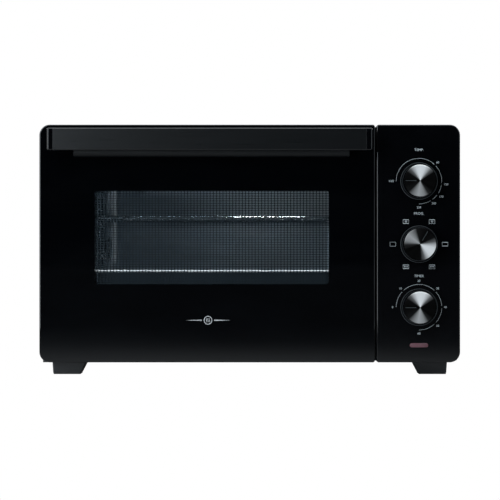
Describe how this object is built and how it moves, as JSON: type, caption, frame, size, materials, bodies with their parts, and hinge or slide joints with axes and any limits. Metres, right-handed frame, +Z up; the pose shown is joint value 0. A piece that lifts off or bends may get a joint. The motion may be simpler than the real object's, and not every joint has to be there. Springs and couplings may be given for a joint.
{
  "type": "toaster oven",
  "caption": "Countertop toaster oven with a drop-down dark glass door and bar handle, knobs in a column on the right, rack, tray, convection fan and rotisserie drive",
  "frame": {"origin": "middle of the footprint, on the surface the foot pads stand on", "axes": "+X to the right of someone facing the door, where the controls are; +Y to the back; +Z up"},
  "size_m": [0.484, 0.38, 0.2885],
  "materials": {
    "coated_steel": "satin black coating",
    "bare_steel": "zinc plated sheet",
    "aluminised_steel": "aluminised sheet, satin",
    "tinned_steel": "bright tinned",
    "chrome_wire": "bright chrome",
    "heater_sheath": "heat-darkened steel",
    "ceramic": "bisque",
    "black_glass": "polished, black print round a dotted window",
    "gloss_black_plastic": "high gloss",
    "handle_metal": "black anodised",
    "black_plastic": "fine moulded texture",
    "spun_aluminium": "spun face, bright ring",
    "fan_aluminium": "stamped",
    "steel_shaft": "drawn bar",
    "zinc_screws": "zinc plated",
    "motor_steel": "laminations and caps",
    "control_body": "phenolic moulding",
    "bell_steel": "plated",
    "red_lens": "translucent red",
    "pale_nylon": "natural nylon",
    "rubber": "matt"
  },
  "bodies": {
    "root": {"base_pan": "bare_steel", "cavity_back_wall": "aluminised_steel", "cavity_ceiling": "aluminised_steel", "cavity_floor": "aluminised_steel", "cavity_left_wall": "aluminised_steel", "cavity_right_wall": "aluminised_steel", "control_bracket": "bare_steel", "control_fascia": "gloss_black_plastic", "cord_gland": "black_plastic", "door_springs": "zinc_screws", "fan_housing": "aluminised_steel", "fan_motor": "motor_steel", "foot_pads": "rubber", "foot_screws": "zinc_screws", "front_feet": "black_plastic", "front_frame": "coated_steel", "function_switch": "control_body", "heat_shield": "bare_steel", "heater_insulators": "ceramic", "hinge_bracket_left": "bare_steel", "hinge_bracket_right": "bare_steel", "lamp_holder": "pale_nylon", "lamp_lens": "red_lens", "lower_heaters": "heater_sheath", "outer_wrap": "coated_steel", "rear_feet": "black_plastic", "rear_panel": "coated_steel", "rear_panel_screws": "zinc_screws", "rotisserie_bracket": "chrome_wire", "rotisserie_motor": "motor_steel", "terminal_block": "pale_nylon", "thermostat": "control_body", "timer": "control_body", "timer_bell": "bell_steel", "upper_heaters": "heater_sheath"},
    "door": {"door_glass": "black_glass", "door_frame": "coated_steel", "door_inner_panel": "aluminised_steel", "hinge_pins": "steel_shaft", "handle_bar": "handle_metal", "handle_end_caps": "gloss_black_plastic", "handle_grip": "gloss_black_plastic", "handle_standoffs": "black_plastic", "handle_screws": "zinc_screws"},
    "temperature_knob_body": {"temperature_knob": "gloss_black_plastic", "temperature_knob_trim": "spun_aluminium", "temperature_shaft": "steel_shaft"},
    "function_knob_body": {"function_knob": "gloss_black_plastic", "function_knob_trim": "spun_aluminium", "function_shaft": "steel_shaft"},
    "timer_knob_body": {"timer_knob": "gloss_black_plastic", "timer_knob_trim": "spun_aluminium", "timer_shaft": "steel_shaft"},
    "fan_rotor": {"convection_fan": "fan_aluminium", "motor_cooling_fan": "fan_aluminium", "fan_shaft": "steel_shaft"},
    "rotisserie_drive": {"rotisserie_coupling": "steel_shaft"},
    "rack": {"wire_rack": "chrome_wire"},
    "tray": {"baking_tray": "tinned_steel"},
    "crumb_drawer": {"crumb_tray": "aluminised_steel"}
  },
  "joints": [
    {"name": "door_hinge", "type": "hinge", "parent": "root", "child": "door", "pos_m": [0, -0.146, 0.027], "axis": [1, 0, 0], "range_deg": [0, 84], "stiffness_Nm_per_rad": 1.2, "springref_deg": -17.19},
    {"name": "temperature_turn", "type": "hinge", "parent": "root", "child": "temperature_knob_body", "pos_m": [0.1946, -0.158, 0.2235], "axis": [0, 1, 0], "range_deg": [0, 270]},
    {"name": "function_turn", "type": "hinge", "parent": "root", "child": "function_knob_body", "pos_m": [0.1946, -0.158, 0.151], "axis": [0, 1, 0], "range_deg": [-120, 180]},
    {"name": "timer_turn", "type": "hinge", "parent": "root", "child": "timer_knob_body", "pos_m": [0.1946, -0.158, 0.0785], "axis": [0, 1, 0], "range_deg": [0, 270]},
    {"name": "fan_spin", "type": "hinge", "parent": "root", "child": "fan_rotor", "pos_m": [0.128, 0.085, 0.147], "axis": [1, 0, 0], "continuous": true},
    {"name": "rotisserie_spin", "type": "hinge", "parent": "root", "child": "rotisserie_drive", "pos_m": [0.12, -0.005, 0.148], "axis": [1, 0, 0], "continuous": true},
    {"name": "rack_slide", "type": "slide", "parent": "root", "child": "rack", "axis": [0, -1, 0], "range_m": [0, 0.21]},
    {"name": "baking_tray_slide", "type": "slide", "parent": "root", "child": "tray", "axis": [0, -1, 0], "range_m": [0, 0.135]},
    {"name": "crumb_tray_slide", "type": "slide", "parent": "root", "child": "crumb_drawer", "axis": [0, -1, 0], "range_m": [0, 0.045]}
  ],
  "couplings": [
    {"joint": "rack_slide", "follows": "door_hinge", "m_per_rad": 0.14},
    {"joint": "baking_tray_slide", "follows": "door_hinge", "m_per_rad": 0.09},
    {"joint": "crumb_tray_slide", "follows": "door_hinge", "m_per_rad": 0.03}
  ]
}
